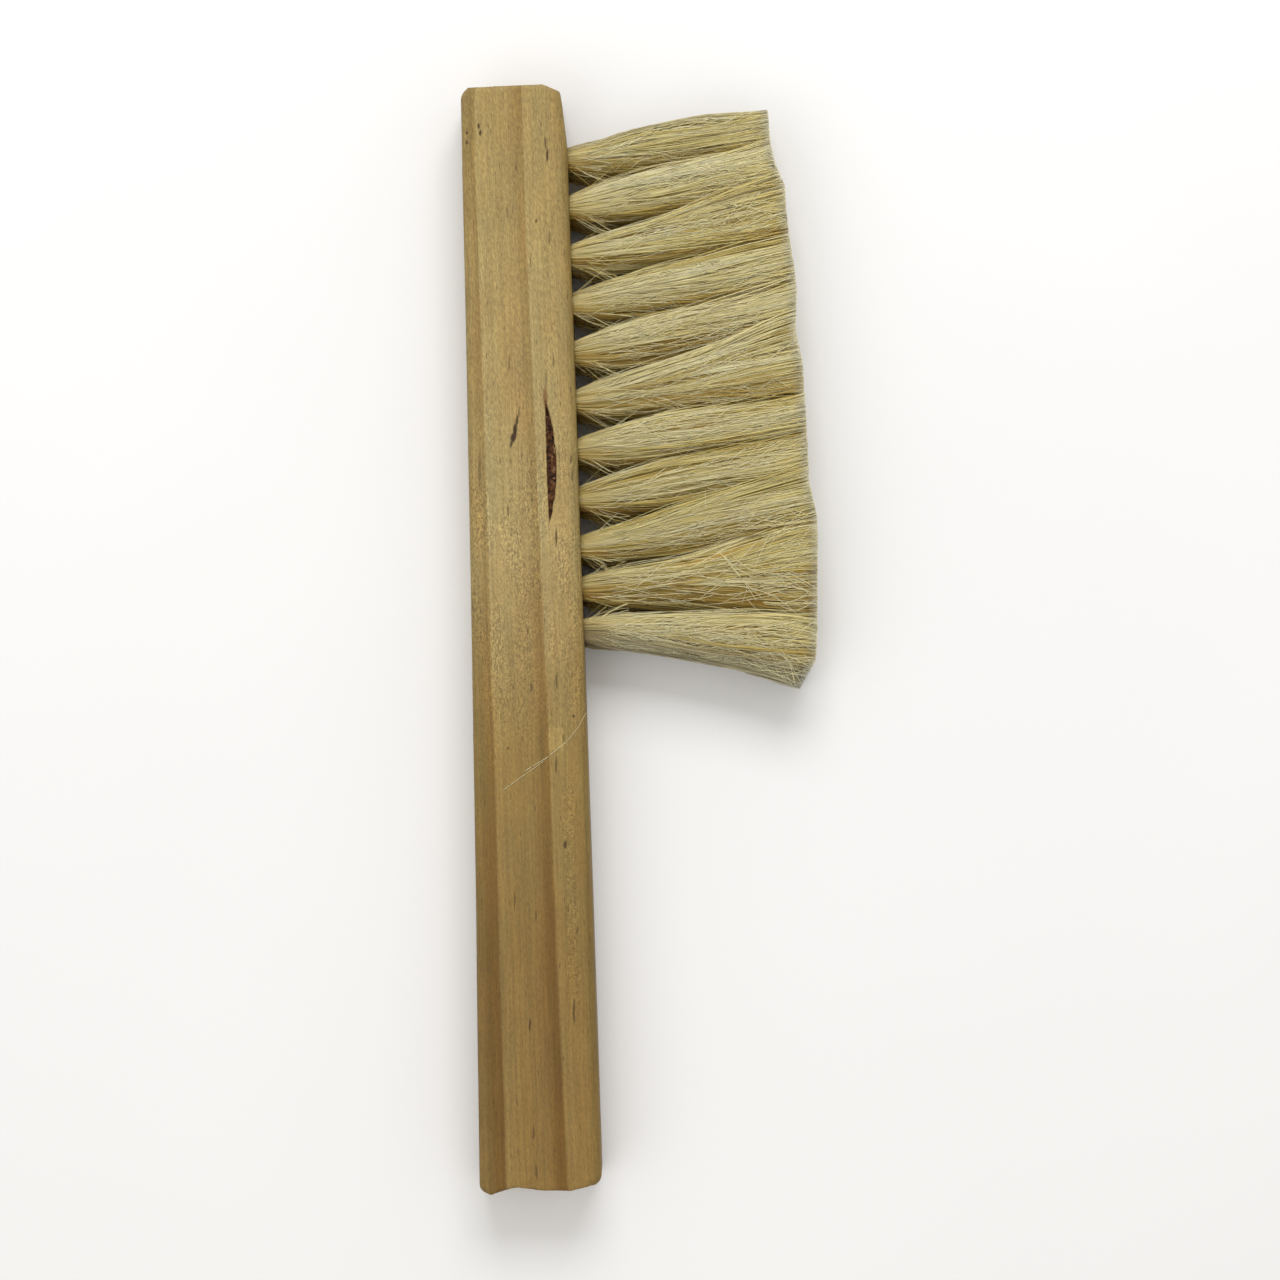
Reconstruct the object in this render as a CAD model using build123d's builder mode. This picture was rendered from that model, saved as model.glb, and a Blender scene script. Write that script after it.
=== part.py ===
from build123d import *
import os

# Bee brush: a tapering wooden bar with two rows of hair tufts along one edge of its upper half.
# It lies on its broad side. +X is the way the bristles point, +Y runs from the grip towards
# the head end, and +Z is up. The origin is on the underside, at mid-length of the bar.
# All lengths are in millimetres.

# Bar
LENGTH = 350.0
THICKNESS = 22.0
FACE_X = 18.0  # the tufted edge, parallel to Y
SPINE_X_HEAD = -15.1  # the opposite edge slants and bows outwards from the head ...
SPINE_X_MIDDLE = -17.8  # ... past here ...
SPINE_X_BUTT = -20.9  # ... to the butt
SPINE_MIDDLE_Y = -19.0
EDGE_RADIUS = 2.5  # rounding of the long edges and of both ends
HEAD_Y = LENGTH / 2
BUTT_Y = -LENGTH / 2
# Corners of the outline, each with its rounding, from the head's slanting edge round to the butt
CORNERS = [
    ((SPINE_X_HEAD, HEAD_Y), 3.5),
    ((11.0, HEAD_Y), 14.0),
    ((16.4, HEAD_Y - 1.8), 3.5),
    ((FACE_X, HEAD_Y - 19.5), 40.0),
    ((FACE_X, BUTT_Y + 2.1), 3.5),
    ((3.0, BUTT_Y + 0.7), 20.0),
    ((-8.6, BUTT_Y + 2.4), 20.0),
    ((SPINE_X_BUTT, BUTT_Y - 1.1), 3.6),
]

# A long natural hollow in the top of the bar, left by a pocket of bark
POCKET_X = 8.2
POCKET_LOW_Y = 38.0
POCKET_HIGH_Y = 75.5
POCKET_WIDTH = 2.9
POCKET_DEPTH = 1.2

# Tufts: eleven stations in each of two rows
STATIONS = 11
WIDE_PITCHES = 8  # the last two gaps are closer
FIRST_STATION_Y = 152.0
WIDE_PITCH = 15.4
CLOSE_PITCH = 13.1
ROW_HEIGHTS = {"upper": THICKNESS / 2 + 4.75, "lower": THICKNESS / 2 - 4.75}
ROW_STAGGER = {"upper": 0.0, "lower": -2.0}
HOLE_RADIUS = 3.5
HOLE_DEPTH = 12.0

# Free hair: it leaves its hole round, swells until it meets its neighbours, and runs out as a
# flat band. Most bands are swept towards the head, and the last one fans the other way.
BULGE_OUT = 19.0  # distance from the tufted edge to the swelling
BULGE_WIDTH = 12.8
BULGE_DEPTH = 8.7
TIP_DEPTH = 9.1
HAIR_GAP = 0.5  # between neighbouring tufts
SWEEP_POWER = 1.35  # the bands bend away from square only gradually
# Where the trimmed end is divided between the tufts, along Y, from the first tuft to the last
TIP_EDGES = [165.0, 154.5, 141.0, 123.0, 109.5, 95.5, 74.0, 62.0, 47.0, 34.5, 3.0, -17.5]
LONGEST_HAIR = 75.0
LONGEST_HAIR_Y = 30.0  # the trimmed edge is a shallow arch, longest here
TRIM_CURVATURE = 0.0007  # loss of length, in mm for each square mm from there

# Wire anchors: a small staple straddles the fold of each tuft and bites into the wood
WIRE_RADIUS = 0.5
STAPLE_WIDTH = 4.0
STAPLE_LEG = 7.5
STAPLE_BEND = 1.2
STAPLE_BRIDGE_X = FACE_X - HOLE_DEPTH + 2.2

os.makedirs("parts", exist_ok=True)


def station_y(station, row):
    """Where a hole's axis meets the tufted edge."""
    wide = min(station, WIDE_PITCHES)
    close = station - wide
    return FIRST_STATION_Y - wide * WIDE_PITCH - close * CLOSE_PITCH + ROW_STAGGER[row]


def root_edge(edge):
    """Where the line between two neighbouring tufts starts; edge 0 is outside the first tuft."""
    if edge == 0:
        return station_y(0, "upper") + WIDE_PITCH / 2
    if edge == STATIONS:
        return station_y(STATIONS - 1, "upper") - CLOSE_PITCH / 2
    return (station_y(edge - 1, "upper") + station_y(edge, "upper")) / 2


def edge_y(edge, row, fraction):
    """Y of that line at a fraction of the hair's length."""
    start = root_edge(edge)
    return start + (TIP_EDGES[edge] - start) * fraction**SWEEP_POWER + ROW_STAGGER[row]


def free_length(y):
    """Length of hair that stands out of a hole at y."""
    return LONGEST_HAIR - TRIM_CURVATURE * (y - LONGEST_HAIR_Y) ** 2


holes = [
    (FACE_X, station_y(station, row), ROW_HEIGHTS[row])
    for row in ROW_HEIGHTS
    for station in range(STATIONS)
]

# One staple, bridge along Y, legs towards -X
with BuildPart() as staple:
    with BuildLine(Plane.XY) as wire:
        FilletPolyline(
            (-STAPLE_LEG, -STAPLE_WIDTH / 2),
            (0, -STAPLE_WIDTH / 2),
            (0, STAPLE_WIDTH / 2),
            (-STAPLE_LEG, STAPLE_WIDTH / 2),
            radius=STAPLE_BEND,
        )
    with BuildSketch(Plane(origin=wire.line @ 0, z_dir=wire.line % 0)):
        Circle(WIRE_RADIUS)
    sweep()

# All staples, each a separate solid at the bottom of its hole
with BuildPart() as anchor_staples:
    with Locations(*[(STAPLE_BRIDGE_X, y, z) for x, y, z in holes]):
        add(staple.part)
anchor_staples.part.label = "anchor_staples"
export_step(anchor_staples.part, "parts/anchor_staples.step")

# The wooden bar
with BuildPart() as handle:
    with BuildSketch(Plane.XY):
        with BuildLine():
            Polyline(*[point for point, rounding in CORNERS])
            ThreePointArc(CORNERS[-1][0], (SPINE_X_MIDDLE, SPINE_MIDDLE_Y), CORNERS[0][0])
        make_face()
        for point, rounding in CORNERS:
            fillet(vertices().sort_by_distance(point)[0], rounding)
    extrude(amount=THICKNESS)
    rims = faces().filter_by(Plane.XY).edges()
    fillet(rims, EDGE_RADIUS)
    # The bark pocket: straight on the spine's side, bowed on the other
    with BuildSketch(Plane.XY.offset(THICKNESS)):
        with BuildLine():
            pocket_middle = (POCKET_LOW_Y + POCKET_HIGH_Y) / 2
            Line((POCKET_X, POCKET_LOW_Y), (POCKET_X, POCKET_HIGH_Y))
            ThreePointArc(
                (POCKET_X, POCKET_HIGH_Y),
                (POCKET_X + POCKET_WIDTH, pocket_middle),
                (POCKET_X, POCKET_LOW_Y),
            )
        make_face()
    extrude(amount=-POCKET_DEPTH, mode=Mode.SUBTRACT)
    # The blind holes for the tufts
    with BuildSketch(Plane.YZ.offset(FACE_X)):
        with Locations(*[(y, z) for x, y, z in holes]):
            Circle(HOLE_RADIUS)
    extrude(amount=-HOLE_DEPTH, mode=Mode.SUBTRACT)
    # The wire of the staples lies in the wood beyond the holes
    add(anchor_staples.part, mode=Mode.SUBTRACT)
handle.part.label = "handle"
export_step(handle.part, "parts/handle.step")


def section(station, row, out, widest, depth):
    """One elliptical section of a tuft, at a distance out from the tufted edge."""
    fraction = out / free_length(station_y(station, row))
    high = edge_y(station, row, fraction)
    low = edge_y(station + 1, row, fraction)
    width = min(high - low - HAIR_GAP, widest)
    with BuildSketch(Plane.YZ.offset(FACE_X + out)) as outline:
        with Locations(((high + low) / 2, ROW_HEIGHTS[row])):
            Ellipse(width / 2, depth / 2)
    return outline.sketch


# The tufts: a round butt folded into its hole, and the free hair
for row, height in ROW_HEIGHTS.items():
    for station in range(STATIONS):
        root_y = station_y(station, row)
        length = free_length(root_y)
        middle = (BULGE_OUT + length) / 2
        with BuildPart() as tuft:
            with BuildSketch(Plane.YZ.offset(FACE_X - HOLE_DEPTH)):
                with Locations((root_y, height)):
                    Circle(HOLE_RADIUS)
            extrude(amount=HOLE_DEPTH)
            with BuildSketch(Plane.YZ.offset(FACE_X)):
                with Locations((root_y, height)):
                    Circle(HOLE_RADIUS)
            add(section(station, row, BULGE_OUT, BULGE_WIDTH, BULGE_DEPTH))
            add(section(station, row, middle, length, TIP_DEPTH))
            add(section(station, row, length, length, TIP_DEPTH))
            loft()
            add(anchor_staples.part, mode=Mode.SUBTRACT)
        name = f"tuft_{row}_{station + 1:02d}"
        tuft.part.label = name
        export_step(tuft.part, f"parts/{name}.step")
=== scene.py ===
"""Looks of the bee brush: a bare wooden bar and two rows of natural hair tufts.

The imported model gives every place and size. The bar is re-meshed finely from its CAD node, so
that its hollow, dents and worn edges are real shapes, and each tuft is rebuilt hair by hair.
Lengths are in metres. +X is the way the hair points, +Y runs to the head end, +Z is up.
"""

import math

import bmesh
import bpy
import numpy as np
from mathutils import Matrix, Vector


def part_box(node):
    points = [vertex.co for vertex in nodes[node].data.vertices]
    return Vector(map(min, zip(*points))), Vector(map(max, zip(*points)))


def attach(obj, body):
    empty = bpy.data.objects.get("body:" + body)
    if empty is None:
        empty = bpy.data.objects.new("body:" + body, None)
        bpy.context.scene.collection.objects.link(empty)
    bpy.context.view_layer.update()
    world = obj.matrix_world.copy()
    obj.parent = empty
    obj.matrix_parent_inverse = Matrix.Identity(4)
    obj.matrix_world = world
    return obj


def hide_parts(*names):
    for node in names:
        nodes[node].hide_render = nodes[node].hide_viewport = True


MM = 0.001

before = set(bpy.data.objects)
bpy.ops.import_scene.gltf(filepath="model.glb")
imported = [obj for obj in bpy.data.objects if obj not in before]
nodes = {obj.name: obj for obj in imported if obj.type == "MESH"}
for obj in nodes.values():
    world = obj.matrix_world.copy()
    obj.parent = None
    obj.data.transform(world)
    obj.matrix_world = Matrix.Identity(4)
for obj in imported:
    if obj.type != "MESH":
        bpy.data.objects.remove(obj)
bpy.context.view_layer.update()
_, bar_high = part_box("handle")
FACE_X = bar_high.x  # the tufted edge
TOP_Z = bar_high.z


# ---------------- small tools


def smooth(low, high, value):
    """0 below low, 1 above high, and smooth between."""
    t = np.clip((value - low) / (high - low), 0, 1)
    return t * t * (3 - 2 * t)


def waves(points, size, seed, octaves=3):
    """Smooth seeded noise from about -1 to 1. size is the longest wave along x, y and z."""
    rng = np.random.default_rng(seed)
    total = np.zeros(len(points))
    for octave in range(octaves):
        for _ in range(6):
            direction = rng.normal(size=3)
            direction /= np.linalg.norm(direction)
            turn = 2 * math.pi * 2**octave * direction / np.array(size)
            total += np.sin(points @ turn + rng.uniform(0, 2 * math.pi)) * 0.55**octave
    return total / 4


def new_object(name, data):
    piece = bpy.data.objects.new(name, data)
    bpy.context.scene.collection.objects.link(piece)
    return piece


class Tree:
    """A material's node tree, built with short calls."""

    def __init__(self, name):
        self.material = bpy.data.materials.new(name)
        self.material.use_nodes = True
        self.tree = self.material.node_tree
        self.shader = self.tree.nodes["Principled BSDF"]

    def node(self, kind, settings=None, **inputs):
        made = self.tree.nodes.new(kind)
        for key, value in (settings or {}).items():
            setattr(made, key, value)
        self.feed(made, inputs)
        return made

    def feed(self, node, inputs):
        """Gives a node its inputs. An underscore in a key stands for a space."""
        for key, value in inputs.items():
            self.put(node.inputs[key.replace("_", " ")], value)

    def surface(self, **inputs):
        self.feed(self.shader, inputs)

    def put(self, socket, value):
        if isinstance(value, bpy.types.NodeSocket):
            self.tree.links.new(value, socket)
        else:
            socket.default_value = value

    def math(self, operation, *values):
        made = self.node("ShaderNodeMath", {"operation": operation})
        for socket, value in zip(made.inputs, values):
            self.put(socket, value)
        return made.outputs[0]

    def times(self, first, second):
        return self.math("MULTIPLY", first, second)

    def plus(self, first, second):
        return self.math("ADD", first, second)

    def minus(self, first, second):
        return self.math("SUBTRACT", first, second)

    def stretch(self, axes, sizes):
        """The three axes as one vector, each divided by a size."""
        return self.vector(*(self.math("DIVIDE", axis, size) for axis, size in zip(axes, sizes)))

    def vector(self, x, y, z):
        return self.node("ShaderNodeCombineXYZ", X=x, Y=y, Z=z).outputs[0]

    def noise(self, vector, scale=1.0, detail=2.0, roughness=0.5):
        made = self.node(
            "ShaderNodeTexNoise", Vector=vector, Scale=scale, Detail=detail, Roughness=roughness
        )
        return made.outputs["Fac"]

    def span(self, value, low, high, to_low=0.0, to_high=1.0):
        """value, moved from low..high to to_low..to_high and held there."""
        made = self.node("ShaderNodeMapRange", {"interpolation_type": "SMOOTHSTEP"})
        for socket, given in zip(made.inputs, (value, low, high, to_low, to_high)):
            self.put(socket, given)
        return made.outputs[0]

    def ramp(self, value, stops):
        made = self.node("ShaderNodeValToRGB", Fac=value)
        elements = made.color_ramp.elements
        while len(elements) < len(stops):
            elements.new(1.0)
        for element, (place, colour) in zip(elements, stops):
            element.position = place
            element.color = (*colour, 1)
        return made.outputs["Color"]

    def mix(self, factor, first, second, blend="MIX"):
        made = self.node("ShaderNodeMix", {"data_type": "RGBA", "blend_type": blend})
        self.put(made.inputs[0], factor)
        for socket, value in ((made.inputs[6], first), (made.inputs[7], second)):
            if isinstance(value, tuple):
                value = (*value, 1)
            self.put(socket, value)
        return made.outputs[2]

    def tint(self, colour, change, factor=1.0):
        """A colour multiplied by another, as far as factor says."""
        return self.mix(factor, colour, change, "MULTIPLY")

    def grey(self, value):
        """A number as a grey colour."""
        return self.node("ShaderNodeCombineColor", Red=value, Green=value, Blue=value).outputs[0]

    def attribute(self, name):
        return self.node("ShaderNodeAttribute", {"attribute_name": name}).outputs["Fac"]

    def place(self):
        """Where a point is in the object, in metres."""
        return self.node("ShaderNodeTexCoord").outputs["Object"]

    def axes(self):
        """Where a point is in the object, as x, y and z in mm."""
        split = self.node("ShaderNodeSeparateXYZ", Vector=self.place())
        return [self.times(split.outputs[i], 1000.0) for i in range(3)]

    def ball(self, place, centre, size, lean=0.0):
        """1 in the middle of an ellipsoid, falling to 0 at its surface."""
        local = self.node("ShaderNodeMapping", {"vector_type": "TEXTURE"}, Vector=place)
        local.inputs["Location"].default_value = centre
        local.inputs["Rotation"].default_value = (0, 0, lean)
        local.inputs["Scale"].default_value = size
        made = self.node("ShaderNodeTexGradient", {"gradient_type": "SPHERICAL"})
        self.put(made.inputs["Vector"], local.outputs[0])
        return made.outputs["Fac"]

    def bump(self, height, strength, distance):
        made = self.node("ShaderNodeBump", Height=height, Strength=strength, Distance=distance)
        self.surface(Normal=made.outputs[0])


# ---------------- camera

VIEW_LEAN = math.radians(1.93)  # the brush leans this much in the view, its head to the left
VIEW_HEIGHT = 0.8 * TOP_Z  # the height at which the view's width is given
VIEW_WIDTH = 405.8 * MM
VIEW_ASIDE = 35.8 * MM  # from the bar's middle to the view's, along the view's own width
LENS = 80.0
SENSOR = 36.0

camera_data = bpy.data.cameras.new("camera")
camera_data.lens = LENS
camera_data.sensor_width = SENSOR
camera_data.clip_start = 0.05
camera_data.clip_end = 20
camera = new_object("camera", camera_data)
bpy.context.scene.camera = camera
camera.rotation_euler = (0, 0, -VIEW_LEAN)
camera.location = (
    VIEW_ASIDE * math.cos(VIEW_LEAN),
    -VIEW_ASIDE * math.sin(VIEW_LEAN),
    VIEW_HEIGHT + VIEW_WIDTH * LENS / SENSOR,
)


# ---------------- light and floor

FLOOR_HALF = 12.0  # metres from the middle of the floor to its far edges
WORLD_COLOUR = (1.0, 0.98, 0.94, 1)
WORLD_STRENGTH = 0.71
LIGHT_TARGET = (0.03, 0, 0)

bpy.context.scene.view_settings.view_transform = "Standard"


def area_light(name, place, size, power, colour):
    data = bpy.data.lights.new(name, "AREA")
    data.shape = "RECTANGLE"
    data.size, data.size_y = size
    data.energy = power
    data.color = colour
    lamp = new_object(name, data)
    lamp.location = place
    aim = Vector(LIGHT_TARGET) - Vector(place)
    lamp.rotation_euler = aim.to_track_quat("-Z", "Y").to_euler()


area_light(
    "key", place=(0.15, 1.15, 1.05), size=(1.0, 0.7), power=15.5, colour=(0.99, 0.99, 1.0)
)
area_light(
    "fill", place=(-0.9, -0.5, 1.3), size=(1.2, 1.2), power=4.5, colour=(1.0, 0.98, 0.95)
)

world = bpy.data.worlds.new("studio")
bpy.context.scene.world = world
world.use_nodes = True
sky = world.node_tree.nodes["Background"]
sky.inputs["Color"].default_value = WORLD_COLOUR
sky.inputs["Strength"].default_value = WORLD_STRENGTH


def build_floor():
    mesh = bpy.data.meshes.new("floor")
    signs = [(-1, -1), (1, -1), (1, 1), (-1, 1)]
    corners = [(x * FLOOR_HALF, y * FLOOR_HALF, 0) for x, y in signs]
    mesh.from_pydata(corners, [], [(0, 1, 2, 3)])
    floor = new_object("floor", mesh)
    look = Tree("floor_paper")
    shade = look.noise(look.place(), 3.0, 3.0)
    colour = look.ramp(shade, [(0.3, (0.785, 0.785, 0.79)), (0.7, (0.82, 0.82, 0.825))])
    look.surface(Base_Color=colour, Roughness=0.8)
    mesh.materials.append(look.material)


build_floor()


# ---------------- wood

# The pocket of bark: its spine's x, its two ends' y, how far it bows and its depth, in mm
BARK = {"x": 8.3, "low": 35.6, "high": 76.6, "bow": 3.2, "depth": 1.5}
# The growth rings, in mm: where along the bar they start, their width there, how much it grows
# for each mm towards the butt, the first line's x there and how far it slants for each mm
GROWTH = {"head": 171.0, "width": 14.7, "spread": 0.0137, "x": -10.7, "slant": 0.005}
# The torn grain in the grip: the band's middle, and the y where it fades in and out, in mm
TORN = {"x": 11.4, "high": (-38.0, -48.0), "low": (-125.0, -105.0)}
# A pale chip above it: where each of its sides fades in, in mm
CHIP = {"left": (4.8, 5.5), "right": (11.0, 10.4), "high": (-27.6, -28.3), "low": (-36.2, -34.6)}
MARK_COLOUR = (0.045, 0.022, 0.007)
HALF_LENGTH = 175.0  # mm
OPEN_DEPTH = 3.0 * MM  # how much of each hole is open behind the tufts
# What is closed behind that: how far back it reaches from the tufted face, its two ends along
# the bar and how much it leaves above and below, in mm
CLOSED = {"back": 22, "low": -6, "high": 160, "skin": 2.4}
# The block that closes the CAD pocket: its limits in x and in y, and its depth, in mm
POCKET_BLOCK = {"x": (7, 12.5), "y": (35, 79), "depth": 4}
# Where the mesh is made finer for the new pocket: its limits in x and in y, and its depth, in mm
POCKET_FINE = {"x": (6.5, 13), "y": (35, 78.5), "depth": 1}
TOP_FACE = 21.0  # points of the bar higher than this, in mm, are on its top face
SANDING = 0.05  # mm, how high the soft waves of the sanded faces are
DENTS = 0.45  # mm, how deep the dents along the edges are
# The new pocket, in mm: the slope of its rim, how ragged its outline is and how rough its floor
RIM = {"width": 0.7, "ragged": 0.10, "crumbs": 0.35}
EDGE_ROUND = 2.5 * MM  # the long edges' rounding
VOXEL = 0.72 * MM

# The sawn ends: corners of the outline at the head and at the butt, in mm
HEAD_OUTLINE = [
    (-15.2, 150.0), (-15.1, 170.8), (-13.2, 174.9), (10.8, 175.1), (16.4, 173.0), (16.7, 165.0),
    (17.4, 150.0),
]
BUTT_OUTLINE = [
    (18.0, -150.0), (18.0, -169.6), (14.1, -173.1), (8.4, -174.3), (-0.2, -174.0),
    (-8.7, -172.7), (-13.5, -173.5), (-17.3, -174.9), (-20.8, -172.6), (-20.3, -150.0),
]

# Dark marks on the top face: place, half length, half width (mm), lean (degrees), darkness
MARKS = [
    (0.0, 71.8, 2.6, 0.25, 6, 0.6), (-0.7, 68.9, 2.8, 0.35, 8, 0.9),
    (-1.4, 66.3, 2.8, 0.6, 8, 1.0), (-1.9, 64.2, 2.4, 0.75, 14, 1.0),
    (-2.6, 62.2, 1.8, 0.35, 14, 0.9),
    (-9.7, 162.5, 1.2, 0.35, -5, 0.9), (-9.2, 160.4, 1.3, 0.45, 10, 0.9),
    (-13.5, 160.5, 0.6, 0.3, 20, 0.8), (-13.6, 157.5, 0.8, 0.4, 0, 0.8),
    (11.3, 156.3, 2.6, 0.28, -4, 0.7), (11.7, 152.5, 2.6, 0.3, 2, 0.9),
    (10.0, 162.5, 1.7, 0.25, 3, 0.4), (-1.5, 135.0, 2.6, 0.28, -2, 0.5),
    (11.5, 126.5, 2.7, 0.28, 0, 0.55), (16.0, 121.5, 2.2, 0.25, 0, 0.4),
    (7.5, 132.0, 0.9, 0.32, 15, 0.7), (11.5, 88.0, 2.8, 0.22, 0, 0.6),
    (9.0, 82.0, 3.6, 0.25, 1, 0.45), (-2.5, 87.5, 3.5, 0.25, 2, 0.5),
    (16.0, 56.5, 1.9, 0.25, 2, 0.6), (16.2, 51.5, 2.9, 0.25, 1, 0.55),
    (0.5, 58.0, 1.1, 0.22, 3, 0.5), (-13.0, 54.0, 7.5, 0.35, 2, 0.45),
    (-4.5, 41.0, 2.7, 0.24, 1, 0.65), (10.5, 32.0, 3.3, 0.28, 0, 0.8),
    (0.5, 3.0, 1.6, 0.25, 2, 0.6),
    (1.0, -15.0, 1.6, 0.25, 2, 0.6), (9.0, -13.0, 2.7, 0.25, 2, 0.6),
    (8.0, -39.5, 3.5, 0.25, 2, 0.7), (10.5, -31.5, 1.8, 0.25, 2, 0.6),
    (14.0, -24.5, 0.7, 0.35, 0, 0.8), (-7.0, -34.0, 0.6, 0.35, 0, 0.7),
    (10.0, -65.0, 1.6, 0.5, 2, 0.8), (-6.5, -82.0, 3.7, 0.24, 2, 0.6),
    (0.0, -87.0, 2.1, 0.25, 1, 0.6), (-3.0, -121.5, 2.5, 0.3, 2, 0.75),
    (11.0, -117.5, 5.3, 0.28, 2, 0.75), (13.0, -92.0, 1.6, 0.25, 2, 0.6),
    (-3.0, -155.5, 3.2, 0.3, 5, 0.55), (-2.5, -168.0, 3.2, 0.3, -4, 0.55),
]


def bark_inside(x, y):
    """How far inside the bark pocket a point of the top is, in mm. Its spine side is straight."""
    middle = (BARK["low"] + BARK["high"]) / 2
    half = (BARK["high"] - BARK["low"]) / 2
    along = np.clip(1 - ((y - middle) / half) ** 2, 0, 1)
    outer = BARK["x"] + BARK["bow"] * along - x
    inner = x - (BARK["x"] - 0.25 * along)
    return np.where(np.abs(y - middle) < half, np.minimum(outer, inner), -1.0)


def mark_mask(look, x, y, z):
    """Where the dark marks are. Their outlines are a little ragged."""
    rag = look.noise(look.stretch((x, y, z), (0.7, 2.5, 0.7)))
    x = look.plus(x, look.times(look.minus(rag, 0.5), 0.6))
    place = look.vector(x, y, z)
    mask = 0.0
    for mark_x, mark_y, half_length, half_width, lean, dark in MARKS:
        centre = (mark_x, mark_y, TOP_Z / MM)
        size = (1.35 * half_width, half_length, 1.5)
        inside = look.ball(place, centre, size, math.radians(-lean))
        inside = look.times(inside, 2.2 * dark)
        mask = look.math("MAXIMUM", mask, look.math("MINIMUM", inside, dark))
    return mask


def ring_colour(look, x, y, z):
    """The growth rings, which run along the bar and spread towards the butt.

    Each starts pale, turns orange and ends at a sharp line. They tilt with depth, so the sides
    show them too.
    """
    bend = look.noise(look.stretch((x, y, z), (33, 83, 33)))
    bend = look.times(look.minus(bend, 0.5), 2.4)
    tilt = look.times(look.minus(z, TOP_Z / MM), 0.55)
    from_head = look.minus(GROWTH["head"], y)
    width = look.plus(look.times(from_head, GROWTH["spread"]), GROWTH["width"])
    first_line = look.minus(GROWTH["x"], look.times(from_head, GROWTH["slant"]))
    across = look.plus(look.minus(x, first_line), look.plus(bend, tilt))
    # Some whole rings are added, so that no phase is negative
    phase = look.math("FRACT", look.plus(look.math("DIVIDE", across, width), 8.0))
    colour = look.ramp(phase, [
        (0.00, (0.318, 0.218, 0.074)), (0.03, (0.400, 0.300, 0.122)), (0.35, (0.380, 0.278, 0.106)),
        (0.62, (0.362, 0.258, 0.096)), (0.78, (0.345, 0.240, 0.088)), (0.90, (0.312, 0.212, 0.070)),
        (1.00, (0.302, 0.202, 0.066)),
    ])
    # The dark part of each ring is darker towards the butt
    stripe = look.times(look.span(phase, 0.64, 0.93), look.span(phase, 1.0, 0.975))
    near_butt = look.span(y, 60.0, -140.0)
    return look.tint(colour, (0.80, 0.72, 0.50), look.times(stripe, near_butt))


def lengthwise_tone_and_edge_shade(look, x, y, colour):
    """The bar is paler at its head and darker towards the butt; painted shade darkens its long
    edges.
    """
    along = look.math("DIVIDE", look.plus(y, HALF_LENGTH), 2 * HALF_LENGTH)
    shade = look.ramp(along, [
        (0.00, (0.64, 0.55, 0.385)), (0.13, (0.58, 0.50, 0.355)), (0.22, (0.56, 0.485, 0.34)),
        (0.31, (0.63, 0.57, 0.43)), (0.40, (0.67, 0.62, 0.48)), (0.49, (0.75, 0.73, 0.69)),
        (0.58, (0.89, 0.92, 0.97)), (0.85, (0.88, 0.88, 0.84)), (1.0, (0.78, 0.77, 0.69)),
    ])
    colour = look.tint(colour, shade)
    # Painted shade on the rounded long edges, which turn away from the light
    edge = look.plus(look.span(x, 13.4, 16.6), look.span(x, -13.4, -16.0))
    return look.tint(colour, (0.82, 0.84, 0.78), look.times(edge, 0.8))


def grained_colour(look, x, y, z, colour):
    """Flecks, a fine speckle, streaks and blotches: the colour, and the two finest as numbers."""
    axes = (x, y, z)
    slant = look.plus(x, look.times(y, 0.16))
    fleck = look.noise(look.stretch((slant, y, z), (0.5, 1.8, 0.5)), 1.0, 3.0, 0.65)
    speckle = look.noise(look.stretch(axes, (0.42, 0.85, 0.42)), 1.0, 2.0, 0.6)
    streak = look.noise(look.stretch(axes, (0.9, 50, 0.9)), 1.0, 4.0, 0.6)
    blotch = look.noise(look.stretch(axes, (8, 16, 8)), 1.0, 3.0, 0.5)
    line = look.noise(look.stretch(axes, (0.3, 14, 0.3)), 1.0, 2.0, 0.5)
    changes = [
        (fleck, 0.88, 1.11), (speckle, 0.92, 1.08), (streak, 0.88, 1.10), (blotch, 0.95, 1.05),
        (line, 0.91, 1.07),
    ]
    for value, low, high in changes:
        colour = look.tint(colour, look.grey(look.span(value, 0.28, 0.72, low, high)))
    warmth = look.noise(look.stretch(axes, (5, 30, 5)))
    warmth = look.ramp(warmth, [(0.35, (1.035, 0.985, 0.93)), (0.65, (0.98, 0.995, 1.01))])
    colour = look.tint(colour, warmth)

    # The flecks are stronger towards the head
    head_fleck = look.grey(look.span(fleck, 0.28, 0.72, 0.88, 1.09))
    colour = look.tint(colour, head_fleck, look.span(y, 30.0, 90.0))

    # The middle of the bar is coarser and has pale grainy patches
    middle = look.times(look.span(y, 85.0, 45.0), look.span(y, -50.0, 0.0))
    patch = look.noise(look.stretch(axes, (6, 26, 6)))
    patch = look.span(patch, 0.42, 0.62, 0.25, 1.0)
    grain = look.grey(look.span(speckle, 0.3, 0.7, 0.70, 1.36))
    colour = look.tint(colour, grain, look.times(middle, patch))
    return colour, fleck, speckle


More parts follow.
